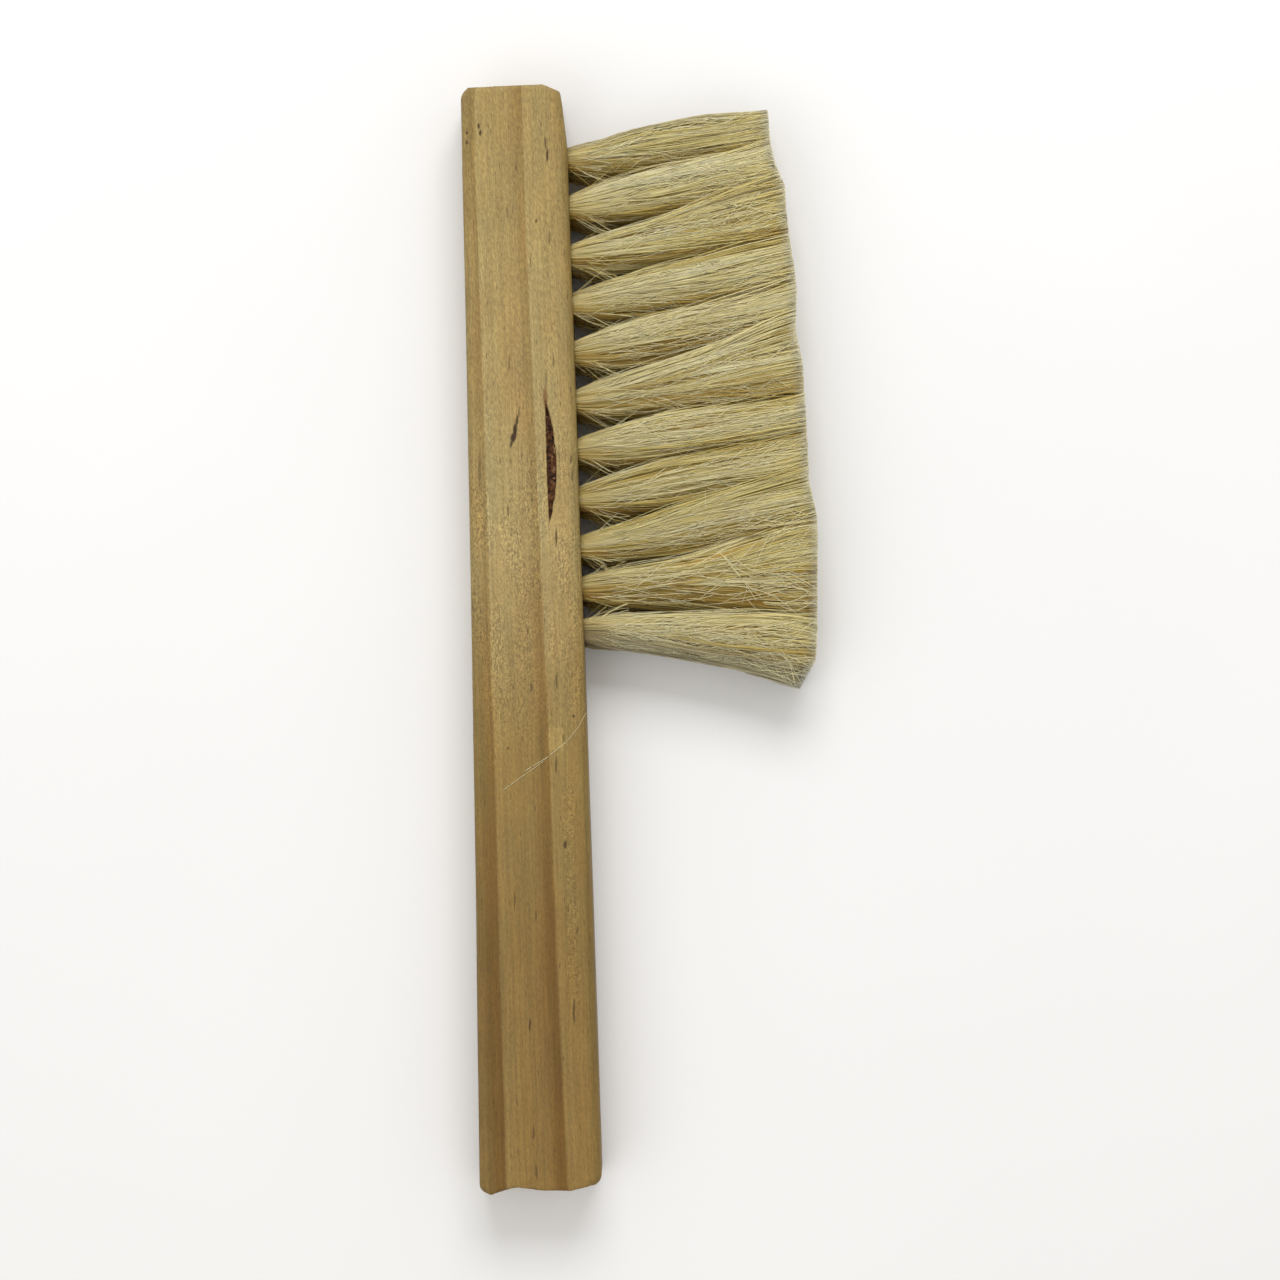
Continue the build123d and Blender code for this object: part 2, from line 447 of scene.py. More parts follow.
def torn_colour(look, x, y, z, colour):
    """A band of small pale and dark curls in the grip: the colour, and the curls' height."""
    # The curls are lines of equal value in a noise
    curl = look.noise(look.stretch((x, y, z), (2.0, 2.4, 2.0)), 1.0, 3.0, 0.55)
    from_middle = look.math("ABSOLUTE", look.minus(x, TORN["x"]))
    band = look.times(look.span(from_middle, 2.6, 1.0), look.span(y, *TORN["high"]))
    band = look.times(band, look.span(y, *TORN["low"]))
    pale_curl = look.span(look.math("ABSOLUTE", look.minus(curl, 0.50)), 0.05, 0.01)
    dark_curl = look.span(look.math("ABSOLUTE", look.minus(curl, 0.56)), 0.04, 0.01)
    pale_curl = look.times(band, pale_curl)
    dark_curl = look.times(band, dark_curl)

    chip = look.times(look.span(x, *CHIP["left"]), look.span(x, *CHIP["right"]))
    chip_ends = look.times(look.span(y, *CHIP["high"]), look.span(y, *CHIP["low"]))
    chip = look.times(chip, chip_ends)
    pale = look.math("MAXIMUM", pale_curl, look.times(chip, 0.6))
    colour = look.tint(colour, (1.30, 1.33, 1.40), pale)
    colour = look.tint(colour, (0.74, 0.68, 0.58), look.times(dark_curl, 0.4))
    return colour, look.minus(pale_curl, dark_curl)


def wood_material():
    look = Tree("wood_bare")
    x, y, z = look.axes()
    colour = ring_colour(look, x, y, z)
    colour = lengthwise_tone_and_edge_shade(look, x, y, colour)
    colour, fleck, speckle = grained_colour(look, x, y, z, colour)
    colour, curls = torn_colour(look, x, y, z, colour)

    # Pores: short dark dashes, and the marks that the real bar has
    pores = look.noise(look.stretch((x, y, z), (0.36, 4.2, 0.36)), 1.0, 1.0, 0.4)
    dark = look.span(pores, 0.70, 0.77, 0.0, 0.6)
    dark = look.math("MAXIMUM", dark, mark_mask(look, x, y, z))
    colour = look.mix(dark, colour, MARK_COLOUR)

    # A stain runs out of the top end of the bark pocket
    stain_centre = (BARK["x"] + 0.2, BARK["high"] - 0.5, TOP_Z / MM)
    stain = look.ball(look.vector(x, y, z), stain_centre, (1.1, 5.5, 3.0))
    stain = look.span(stain, 0.05, 0.7, 0.0, 0.85)
    colour = look.mix(stain, colour, (0.17, 0.075, 0.02))

    # The bark left in its pocket
    bark = look.attribute("bark")
    crumbs = look.noise(look.place(), 850.0, 3.0, 0.8)
    bark_colour = look.ramp(crumbs, [
        (0.38, (0.003, 0.002, 0.001)), (0.45, (0.050, 0.017, 0.004)),
        (0.57, (0.120, 0.044, 0.011)), (0.62, (0.15, 0.065, 0.02)), (0.69, (0.55, 0.41, 0.25)),
    ])
    colour = look.mix(bark, colour, bark_colour)

    rough = look.span(fleck, 0.3, 0.7, 0.52, 0.66)
    rough = look.plus(rough, look.times(bark, 0.25))
    look.surface(Base_Color=colour, Roughness=rough, Specular_IOR_Level=0.3)
    height = look.plus(fleck, look.times(speckle, 0.7))
    height = look.minus(height, look.times(dark, 1.2))
    height = look.plus(height, curls)
    height = look.plus(height, look.times(bark, look.times(crumbs, 6.0)))
    look.bump(height, 0.6, 0.00014)
    return look.material


def closed_block(low, high):
    """A closed box, as a new bmesh."""
    block = bmesh.new()
    for vert in bmesh.ops.create_cube(block, size=1.0)["verts"]:
        for axis in range(3):
            vert.co[axis] = low[axis] if vert.co[axis] < 0 else high[axis]
    return block


def sawn_block(outline):
    """An end of the bar with crisp sawn faces: long edges rounded, cut square to the outline."""
    places = np.array(outline) * MM
    low_x, low_y = places.min(axis=0)
    high_x, high_y = places.max(axis=0)
    prism = bmesh.new()
    ring = [prism.verts.new((x, y, 0)) for x, y in places]
    face = prism.faces.new(ring)
    raised = bmesh.ops.extrude_face_region(prism, geom=[face])["geom"]
    for vert in raised:
        if isinstance(vert, bmesh.types.BMVert):
            vert.co.z = TOP_Z
    bmesh.ops.recalc_face_normals(prism, faces=prism.faces)
    # The long edges run along the bar, on its spine side and on its tufted side
    long_edges = [
        edge for edge in prism.edges
        if abs(edge.verts[0].co.y - edge.verts[1].co.y) > 5 * MM
    ]
    bmesh.ops.bevel(
        prism, geom=long_edges, offset=EDGE_ROUND, segments=5, affect="EDGES", clamp_overlap=True
    )
    bmesh.ops.triangulate(prism, faces=prism.faces)
    return prism


def add_shell(mesh, shell):
    """Adds a closed shell to a mesh; the re-mesh joins it to what it overlaps."""
    whole = bmesh.new()
    whole.from_mesh(mesh)
    extra = bpy.data.meshes.new("extra")
    shell.to_mesh(extra)
    shell.free()
    whole.from_mesh(extra)
    whole.to_mesh(mesh)
    whole.free()
    bpy.data.meshes.remove(extra)


def add_attribute(mesh, name, values):
    attribute = mesh.attributes.new(name, "FLOAT", "POINT")
    attribute.data.foreach_set("value", values.astype(np.float32))


def point_array(mesh, key):
    """The places or the normals of a mesh's points, as an array."""
    values = np.zeros(len(mesh.vertices) * 3)
    mesh.vertices.foreach_get(key, values)
    return values.reshape(-1, 3)


def even_mesh(bar):
    """An object's shells joined into one even mesh."""
    even = bar.modifiers.new("even", "REMESH")
    even.mode = "VOXEL"
    even.voxel_size = VOXEL
    graph = bpy.context.evaluated_depsgraph_get()
    fine = bpy.data.meshes.new_from_object(bar.evaluated_get(graph))
    bar.modifiers.clear()
    return fine


def refine_pocket(mesh):
    """A finer mesh where the bark pocket will be carved."""
    low_x, high_x = POCKET_FINE["x"]
    low_y, high_y = POCKET_FINE["y"]
    carve = bmesh.new()
    carve.from_mesh(mesh)
    for _ in range(2):
        near = [
            edge for edge in carve.edges
            if all(
                vert.co.z > TOP_Z - POCKET_FINE["depth"] * MM
                and low_x * MM < vert.co.x < high_x * MM
                and low_y * MM < vert.co.y < high_y * MM
                for vert in edge.verts
            )
        ]
        bmesh.ops.subdivide_edges(carve, edges=near, cuts=1, use_grid_fill=True)
    many_sided = [face for face in carve.faces if len(face.verts) > 4]
    bmesh.ops.triangulate(carve, faces=many_sided)
    carve.to_mesh(mesh)
    carve.free()


def build_bar():
    """The bar's CAD shape with shallow holes, as an even fine mesh, then worn and carved."""
    mesh = nodes["handle"].data.copy()
    mesh.materials.clear()
    # What lies behind the tufts is closed: the wire's channels and the bottoms of the holes
    add_shell(mesh, closed_block(
        (FACE_X - CLOSED["back"] * MM, CLOSED["low"] * MM, CLOSED["skin"] * MM),
        (FACE_X - OPEN_DEPTH, CLOSED["high"] * MM, TOP_Z - CLOSED["skin"] * MM),
    ))
    # The CAD pocket is closed too, and carved again below with its real ragged floor
    low_x, high_x = POCKET_BLOCK["x"]
    low_y, high_y = POCKET_BLOCK["y"]
    add_shell(mesh, closed_block(
        (low_x * MM, low_y * MM, TOP_Z - POCKET_BLOCK["depth"] * MM),
        (high_x * MM, high_y * MM, TOP_Z),
    ))
    for outline in (HEAD_OUTLINE, BUTT_OUTLINE):
        add_shell(mesh, sawn_block(outline))
    bar = new_object("wooden_bar", mesh)
    fine = even_mesh(bar)
    bar.data = fine
    refine_pocket(fine)
    points = point_array(fine, "co")
    normals = point_array(fine, "normal")
    in_mm = points / MM

    # Hand-sanded unevenness: long soft waves, and small dents along the edges
    soft = waves(in_mm, (30, 90, 30), seed=3)
    edges = 1 - np.abs(normals).max(axis=1)
    dents = np.minimum(waves(in_mm, (6, 14, 6), seed=5), 0)
    away = SANDING * soft + DENTS * smooth(0.02, 0.2, edges) * dents
    points += normals * (away * MM)[:, None]

    # The bark pocket, with a slightly ragged rim and a crumbling floor
    ragged = waves(in_mm, (1.6, 5.0, 9.0), seed=7)
    depth_in = bark_inside(in_mm[:, 0], in_mm[:, 1]) + RIM["ragged"] * ragged
    on_top = in_mm[:, 2] > TOP_FACE
    crumble = waves(in_mm, (1.3, 2.4, 5.0), seed=11, octaves=2)
    depth = smooth(0.0, RIM["width"], depth_in) * (BARK["depth"] + RIM["crumbs"] * crumble)
    points[:, 2] -= np.where(on_top, depth, 0) * MM
    bark = np.where(on_top, smooth(-0.05, 0.3, depth_in), 0)

    fine.vertices.foreach_set("co", points.ravel())
    add_attribute(fine, "bark", bark)
    fine.polygons.foreach_set("use_smooth", np.ones(len(fine.polygons), bool))
    fine.materials.append(wood_material())
    fine.update()
    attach(bar, "root")
    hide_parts("handle")


build_bar()


# ---------------- hair

OUTER_HAIRS = 1100  # near the outside of a tuft
INNER_HAIRS = 900  # short, out of the core; their ends show at the trim
LOOSE_HAIRS = 40  # thinner ones that stray over the surface
LOOSE_THICKNESS = 0.6  # of the other hairs'
LOOSE_WANDER = 2.2  # how much further they stray than the others
SHORT_SHARE = 0.07  # of the outer hairs end before the cut
STRAY_SHARE = 0.22  # of the outer hairs lean a lot
CROSSING_HAIRS = 110  # short fine ones that lie across the others on top
LAST_CROSSING = 300  # the last tuft has more of them, on its lower half
ROOT_FUZZ = {"upper": 26, "lower": 80}  # short broken ones about the root
# The lower row's fuzz is darker for painted shade in the gaps between the roots
FUZZ_TONE = {"upper": 0.0, "lower": -1.6}  # their mean tone. The lower row's are darker
EDGE_HAIRS = 170  # as many outer hairs of the first and the last tuft move to its outer side
# The share of a tuft's upper outer hairs that cross up over the next tuft
RISING = {"tuft_upper_06": 0.45, "tuft_upper_09": 0.25, "tuft_upper_03": 0.12}
CLUMPS = 60  # small bundles of a tuft's outer hairs
LOCKS = 11  # larger ones
CLUMP_PULL = 0.55  # how far a hair is drawn to the middle of its clump, where that is most
LOCK_PULL = 0.12  # and of its lock
LOCK_RISE = 0.07  # how far a lock rises and sinks, of the tuft's size
RINGS = 15  # how many rings of corners an outer hair has
CROSSING_RINGS = 7
INNER_RINGS = 4
INNER_START = 0.78  # how far along the tuft the inner hairs come out of its core
HAIR_RADIUS = 0.13 * MM
ROOT_INSET = 2.6 * MM
SWEEP_POWER = 1.3  # above 1, a tuft leaves its hole straight and turns aside further out
SWELL_LENGTH = 0.19  # how soon a tuft swells out of its hole, of its whole length
ROOT_SIZE = 0.76  # of its hole's radius
END_SIZE = {"wide": 1.06, "deep": 1.04}  # of the CAD tuft's end
END_SQUARE = 3.2  # 2 would be round
BEFORE_LAST = 1.12  # how much fatter the last tuft but one is
CORE_SIZE = 0.80  # of the tuft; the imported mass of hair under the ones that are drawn
CORE_LENGTH = 0.90
CORE_AROUND = 28
CORE_STEPS = 20
CORE_STRANDS = 400  # strand numbers run up to this round a core
LOWEST_HAIR = 1.0 * MM  # above the floor
# How far a tuft's upper side is raised and its lower side sunk, so that it laps over the next
SHINGLE = 2.5 * MM
TRIM = [  # the trimmed line: places along the bar and how far out it lies there, in mm
    (-26.0, 84.5), (-17.8, 86.3), (-9.5, 91.2), (1.6, 92.3), (21.0, 92.8), (30.0, 93.3),
    (36.0, 93.2), (47.1, 91.0), (62.3, 90.9), (73.7, 90.6), (84.0, 90.3), (95.7, 88.4),
    (109.6, 89.2), (122.9, 87.6), (134.0, 86.6), (141.1, 86.6), (148.0, 83.6), (155.2, 82.3),
    (165.0, 81.9),
]
OUTER_LINES = {  # the outlines of the first tuft's upper side and the last one's lower side, in mm
    1.0: [(17.9, 154.8), (38.4, 160.3), (52.1, 162.6), (62.3, 164.3), (82.3, 165.2)],
    -1.0: [(18.0, -2.2), (44.2, -6.9), (66.9, -11.8), (85.7, -18.1)],
}
SHED_HAIRS = [  # where single loose hairs lie, in mm, and their height
    (
        [(18.0, -23.6), (15.4, -28.0), (11.7, -32.4), (5.4, -37.1), (1.4, -39.4), (-1.9, -41.2)],
        22.2,
    ),
    ([(6.0, -36.6), (3.4, -38.9), (-3.2, -43.2), (-7.9, -46.4), (-9.2, -47.3)], 22.2),
    ([(58.0, 45.6), (57.9, 42.0), (57.8, 39.3)], 22.3),
]
SHED_THICKNESS = 0.7  # of the other hairs'
STRIPS = 480  # hairs are laid out on this many strips of the baked picture
# The core's tone: a dark golden-brown, painted shade deep between the drawn hairs
CORE_SHADE_TONE = 0.10
CORE_BAND = 0.94  # the baked picture's part above this holds the core
# Where painted shade greys the outer side of the first tuft, in mm: it starts at x, rises and bows
# with the distance from there, and fades in over y
FIRST_SIDE = {"x": 18.0, "rise": 0.32, "bow": 0.00246, "fade": (152.4, 154.6)}
# The last tuft's: it falls by slope for each mm of x, and fades in over y
LAST_SIDE = {"slope": 0.205, "fade": (10.5, 4.5)}
# The grey of the painted shade on those outer sides
SIDE_SHADE_COLOUR = (0.37, 0.335, 0.215)


def painted_side_shade(look, x, y, tone):
    """How far painted shade greys a hair: the first and the last tuft's outer sides, but not the
    palest hairs.
    """
    out = look.minus(x, FIRST_SIDE["x"])
    rise = look.minus(FIRST_SIDE["rise"], look.times(out, FIRST_SIDE["bow"]))
    above = look.minus(y, look.times(out, rise))
    first_side = look.span(above, *FIRST_SIDE["fade"], 0.0, 0.75)
    below = look.plus(y, look.times(x, LAST_SIDE["slope"]))
    last_side = look.span(below, *LAST_SIDE["fade"], 0.0, 0.85)
    side_shade = look.math("MAXIMUM", first_side, last_side)
    return look.times(side_shade, look.span(tone, 0.93, 0.80))


def hair_material():
    look = Tree("hair_natural")
    x, y, z = look.axes()
    tone = look.attribute("tone")
    strand = look.attribute("strand")
    along = look.attribute("along")
    drift = look.noise(look.vector(look.times(along, 5.0), look.times(strand, 1.9), 0.0))
    drift = look.times(look.minus(drift, 0.5), 0.6)
    colour = look.ramp(look.plus(tone, drift), [
        (0.00, (0.35, 0.215, 0.04)), (0.20, (0.57, 0.430, 0.120)), (0.45, (0.72, 0.595, 0.235)),
        (0.75, (0.81, 0.695, 0.330)), (1.0, (0.88, 0.790, 0.45)),
    ])
    # Painted shade greys the outer sides of the first and the last tuft
    colour = look.mix(painted_side_shade(look, x, y, tone), colour, SIDE_SHADE_COLOUR)
    # Roots are warmer and the cut ends paler and cooler
    root = look.span(along, 0.02, 0.24, 0.6, 0.0)
    colour = look.tint(colour, (0.80, 0.62, 0.34), root)
    end = look.span(along, 0.95, 1.0, 0.0, 0.3)
    colour = look.mix(end, colour, (0.74, 0.76, 0.70))
    look.surface(
        Base_Color=colour,
        Roughness=look.span(drift, -0.2, 0.2, 0.42, 0.58),
        Specular_IOR_Level=0.4,
        Subsurface_Weight=0.8,
        Subsurface_Radius=(1.0, 1.0, 1.0),
        Subsurface_Scale=0.35 * MM,
    )
    strands = look.vector(look.times(x, 0.06), look.times(y, 2.6), look.times(z, 2.6))
    strands = look.noise(strands)
    look.bump(strands, 0.2, 0.0001)
    return look.material


def tuft_places(node):
    """A CAD tuft's hole centre and radius, and its trimmed end's limits and depth."""
    points = np.array([vert.co for vert in nodes[node].data.vertices])
    butt = points[points[:, 0] < FACE_X + 0.1 * MM]
    end = points[points[:, 0] > points[:, 0].max() - 0.1 * MM]
    root = (butt[:, 1:].min(axis=0) + butt[:, 1:].max(axis=0)) / 2
    return {
        "root": root,
        "radius": (butt[:, 1].max() - butt[:, 1].min()) / 2,
        "low": end[:, 1].min(),
        "high": end[:, 1].max(),
        "depth": end[:, 2].max() - end[:, 2].min(),
    }


def trimmed_x(y):
    """Where the shears cut the hair at each place along the bar, in metres."""
    places, reach = zip(*TRIM)
    return np.interp(y / MM, places, reach) * MM


def reach_x(cut, t):
    """The x at t of the way from inside the hole to the cut, in metres."""
    start = FACE_X - ROOT_INSET
    return start + (cut - start) * t


def spread(rng, number, inner, outer):
    """Places in a unit disc between two radii, an array of number by 2, thicker above and below."""
    turn = rng.uniform(0, 2 * math.pi, number)
    turn = turn + 0.2 * np.sin(2 * turn)
    reach = np.sqrt(rng.uniform(inner**2, outer**2, number))
    return np.stack([reach * np.cos(turn), reach * np.sin(turn)], axis=1)


def outer_line(tuft, t):
    """The y of the outline of a first or last tuft's outer side, at t of the way along."""
    corner = tuft["high"] if tuft["open_side"] > 0 else tuft["low"]
    x = reach_x(trimmed_x(corner), t)
    places, line = zip(*OUTER_LINES[tuft["open_side"]])
    return np.interp(x / MM, places, line) * MM


def in_tuft(tuft, t, spot):
    """Places in a swelling tuft, as y and z. spot is a place in its unit disc, t the way along."""
    swell = (1 - np.exp(-t / SWELL_LENGTH)) / (1 - math.exp(-1 / SWELL_LENGTH))
    # The end of a tuft is squarer than its root
    angle = np.arctan2(spot[..., 1], spot[..., 0])
    across = np.abs(np.cos(angle)) ** END_SQUARE
    upright = np.abs(np.sin(angle)) ** END_SQUARE
    square = (across + upright) ** (-1 / END_SQUARE)
    spot = spot * (1 + (square - 1) * smooth(0.1, 0.9, t))[..., None]

    end_half = (tuft["high"] - tuft["low"]) / 2 * END_SIZE["wide"]
    full = tuft["body"] + (end_half - tuft["body"]) * smooth(0.35, 1.0, t)
    root_half = tuft["radius"] * ROOT_SIZE
    half_y = root_half + (full - root_half) * swell
    half_z = root_half + (tuft["depth"] / 2 * END_SIZE["deep"] - root_half) * swell
    root_y, root_z = tuft["root"]
    end_y = (tuft["low"] + tuft["high"]) / 2
    middle = root_y + (end_y - root_y) * t**SWEEP_POWER
    y = middle + spot[..., 0] * half_y
    side = tuft["open_side"]
    if side:
        # Half of the tuft is fitted to its outline
        fitted = middle + spot[..., 0] * side * (outer_line(tuft, t) - middle)
        fit = smooth(0.0, 0.25, t) * (spot[..., 0] * side > 0)
        y = y + (fitted - y) * fit
    lap = SHINGLE * smooth(0.03, 0.3, t) * (1 - 0.7 * smooth(0.6, 1.0, t))
    z = root_z + spot[..., 1] * half_z + spot[..., 0] * lap
    return y, z


def wander(rng, t, group, size, turns):
    """How far hairs stray as they run out. Those with the same number in group go together."""
    start = rng.uniform(0, 2 * math.pi, group.max() + 1)[group][:, None]
    rate = rng.uniform(*turns, group.max() + 1)[group][:, None]
    return size * (np.sin(start + rate * t) - np.sin(start)) * np.minimum(1, 2.5 * t)


def outer_disc(tuft, rng):
    """Where a tuft's outer hairs start in its unit disc, and which are loose or at an open side."""
    disc = np.concatenate([
        spread(rng, OUTER_HAIRS, 0.80, 1.0),
        spread(rng, LOOSE_HAIRS, 1.0, 1.08),
    ])
    count = len(disc)
    loose = np.arange(count) >= OUTER_HAIRS
    side = tuft["open_side"]
    at_edge = (np.arange(count) < EDGE_HAIRS) & (side != 0)
    turn = rng.normal(0 if side > 0 else math.pi, 0.6, count)
    edge_disc = rng.uniform(0.9, 1.0, (count, 1)) * np.stack([np.cos(turn), np.sin(turn)], axis=1)
    return np.where(at_edge[:, None], edge_disc, disc), loose, at_edge


def nearest(places, centres):
    """The number of the centre that each place is nearest to."""
    return ((places[:, None] - centres[None]) ** 2).sum(axis=2).argmin(axis=1)


def leaning(tuft, rng, disc, clump_of):
    """How far each outer hair has moved along the bar at its tip, and which rise over others."""
    count = len(disc)
    lean = rng.normal(0, 0.5, count)
    strays = rng.uniform(0, 1, count) < STRAY_SHARE
    lean = lean + strays * rng.normal(0, 2.3, count)
    lean = (lean + rng.normal(0, 0.7, CLUMPS)[clump_of]) * MM
    rising = rng.uniform(0, 1, count) < tuft["rising"]
    rising = rising & (disc[:, 0] > 0.35) & (disc[:, 1] > 0.3)
    lean = np.where(rising, rng.uniform(3 * MM, 9 * MM, count), lean)
    return np.clip(lean, *tuft["lean"]), rising


def painted_shade_below(tuft, disc):
    """How much darker each outer hair is painted for lying on the lower side of its tuft: painted
    shade.
    """
    if tuft["open_side"] < 0:
        return 4.0 * smooth(0.6, -0.6, disc[:, 0])
    return 2.2 * smooth(0.1, -1.0, disc[:, 0])


def outer_paths(tuft, rng):
    """The hairs about a tuft's outside: paths (hairs by rings by 3), radii, tones and ways along.

    A hair starts at a place in the round hole and keeps about the same place in the swelling
    tuft, drawn towards its clump and its lock.
    """
    disc, loose, at_edge = outer_disc(tuft, rng)
    count = len(disc)
    clump_centres = spread(rng, CLUMPS, 0.7, 1.0)
    lock_centres = spread(rng, LOCKS, 0.7, 0.95)
    clump_of = nearest(disc, clump_centres)
    lock_of = nearest(disc, lock_centres)

    # Most hairs reach the cut, a few are shorter
    short = rng.uniform(0, 1, count) < SHORT_SHARE
    length = np.where(short, rng.uniform(0.65, 0.97, count), 1.0)
    t = length[:, None] * np.linspace(0, 1, RINGS)
    tight = np.where(loose | at_edge, 0.1, 1.0)[:, None]
    peak = rng.uniform(0.25, 0.85, CLUMPS)[clump_of][:, None]
    clump_pull = CLUMP_PULL * tight * np.exp(-(((t - peak) / 0.33) ** 2))
    lock_pull = LOCK_PULL * tight * np.sin(np.pi * t)
    spot = disc[:, None, :] * np.ones((1, RINGS, 1))
    spot = spot + (clump_centres[clump_of][:, None, :] - spot) * clump_pull[..., None]
    spot = spot + (lock_centres[lock_of][:, None, :] - spot) * lock_pull[..., None]

    # Locks rise and sink a little against each other
    phase = rng.uniform(0, 2 * math.pi, LOCKS)[lock_of][:, None]
    rise = LOCK_RISE * np.sin(phase + 4 * t) * np.sin(np.pi * t)
    spot = spot * (1 + rise)[..., None]
    y, z = in_tuft(tuft, t, spot)

    alone = np.arange(count)
    size = np.where(loose, LOOSE_WANDER, 1.0)[:, None]
    y = y + wander(rng, t, clump_of, 0.6 * MM, (3, 9))
    y = y + size * wander(rng, t, alone, 0.22 * MM, (3, 10))
    z = z + wander(rng, t, clump_of, 0.3 * MM, (2, 6))
    z = z + size * wander(rng, t, alone, 0.18 * MM, (3, 10))

    # Some hairs and clumps lean, and so cross the others towards the tips
    lean, rising = leaning(tuft, rng, disc, clump_of)
    z = z + rising[:, None] * 1.2 * MM * smooth(0.1, 0.4, t)
    y = y + lean[:, None] * smooth(0.15, 1.1, t)
    z = np.clip(z, LOWEST_HAIR, TOP_Z - 0.3 * MM)

    # On a tuft's open side, the hairs that stray out of it are folded back in
    side = tuft["open_side"]
    if side:
        limit, _ = in_tuft(tuft, t, np.array([[[side, 0.0]]]))
        y = y - 2 * side * np.maximum(side * (y - limit), 0)

    cut = trimmed_x(y[:, -1]) - rng.exponential(0.3 * MM, count)
    x = reach_x(cut[:, None], t)

    radii = HAIR_RADIUS * rng.uniform(0.75, 1.25, count) * np.where(loose, LOOSE_THICKNESS, 1)
    tones = rng.normal(0, 0.3, count) + rng.normal(0, 0.6, CLUMPS)[clump_of]
    # Loose hairs are paler; hairs at an open side are a little darker, painted shade
    tones = tones + rng.normal(0, 0.4, LOCKS)[lock_of] + 1.0 * loose - 0.5 * at_edge
    # Painted shade: hairs on a tuft's lower side take darker tones
    tones = tones - painted_shade_below(tuft, disc)
    return np.stack([x, y, z], axis=2), radii, tones, t


def inner_paths(tuft, rng):
    """The ends of the hairs inside a tuft, which come out of its core near the trim."""
    spot = spread(rng, INNER_HAIRS, 0.0, 0.97)
    t = np.linspace(INNER_START, 1, INNER_RINGS)[None, :]
    y, z = in_tuft(tuft, t, spot[:, None, :] * np.ones((1, INNER_RINGS, 1)))
    drift = rng.normal(0, 0.5 * MM, (2, INNER_HAIRS, 1)) * (t - INNER_START) / (1 - INNER_START)
    y = y + drift[0]
    z = np.clip(z + drift[1], LOWEST_HAIR, TOP_Z - 0.3 * MM)
    cut = trimmed_x(y[:, -1]) - rng.exponential(0.5 * MM, INNER_HAIRS)
    x = reach_x(cut[:, None], t)
    radii = HAIR_RADIUS * rng.uniform(0.9, 1.4, INNER_HAIRS)
    # Their tones are a little darker on average: painted shade inside the tuft
    tones = rng.normal(-0.3, 0.6, INNER_HAIRS)
    return np.stack([x, y, z], axis=2), radii, tones, np.repeat(t, INNER_HAIRS, axis=0)


def crossing_paths(tuft, rng):
    """Short fine hairs that lie on the top of the tuft, askew to the others."""
    last = tuft["open_side"] < 0
    count = LAST_CROSSING if last else CROSSING_HAIRS
    start = rng.uniform(0.08, 0.85, (count, 1))
    stop = np.minimum(start + rng.uniform(0.1, 0.35, (count, 1)), 0.99)
    t = start + (stop - start) * np.linspace(0, 1, CROSSING_RINGS)
    across = rng.uniform(-0.9, 0.5 if last else 0.9, (count, 1))
    swing = rng.normal(0, 0.55, (count, 1)) * np.linspace(0, 1, CROSSING_RINGS)
    curl = rng.normal(0, 0.08, (count, 1)) * np.sin(np.linspace(0, math.pi, CROSSING_RINGS))
    across = np.clip(across + swing + curl, -0.96, 0.96)
    height = rng.uniform(1.0, 1.12, (count, 1)) * np.sqrt(1 - across**2)
    y, z = in_tuft(tuft, t, np.stack([across, height], axis=2))
    x = reach_x(trimmed_x(y), t)
    radii = HAIR_RADIUS * rng.uniform(0.6, 1.0, count)
    z = np.clip(z, LOWEST_HAIR, TOP_Z - 0.1 * MM)
    tones = rng.normal(1.6, 0.8, count)
    return np.stack([x, y, z], axis=2), radii, tones, t


def fuzz_paths(tuft, rng):
    """Short broken hairs that stand out of the tuft near its root."""
    count = ROOT_FUZZ[tuft["row"]]
    size = (count, 1)
    t = np.linspace(0, 1, RINGS)[None, :]
    side = rng.choice([-1.0, 1.0], size, p=[0.65, 0.35])
    if tuft["open_side"]:
        side = np.full(size, -tuft["open_side"])
    length = rng.uniform(5 * MM, 17 * MM, size)
    first_heading = rng.uniform(0.05, 0.8, size)
    turn_back = rng.uniform(-0.1, 0.7, size)
    heading = side * (first_heading - turn_back * t)
    step = length / (RINGS - 1)
    start_x = FACE_X + rng.uniform(-1 * MM, 6 * MM, size)
    start_y = tuft["root"][0] + side * tuft["radius"] * 0.7
    start_z = tuft["root"][1] + rng.uniform(-2 * MM, 4 * MM, size)
    x = start_x + np.cumsum(np.cos(heading) * step, axis=1)
    y = start_y + np.cumsum(np.sin(heading) * step, axis=1)
    z = start_z + rng.normal(1 * MM, 2 * MM, size) * t
    z = np.clip(z, LOWEST_HAIR, TOP_Z)
    radii = HAIR_RADIUS * rng.uniform(0.4, 0.7, count)
    paths = np.stack([x, y, z], axis=2)
    tones = rng.normal(FUZZ_TONE[tuft["row"]], 0.8, count)
    return paths, radii, tones, np.repeat(t, count, axis=0)


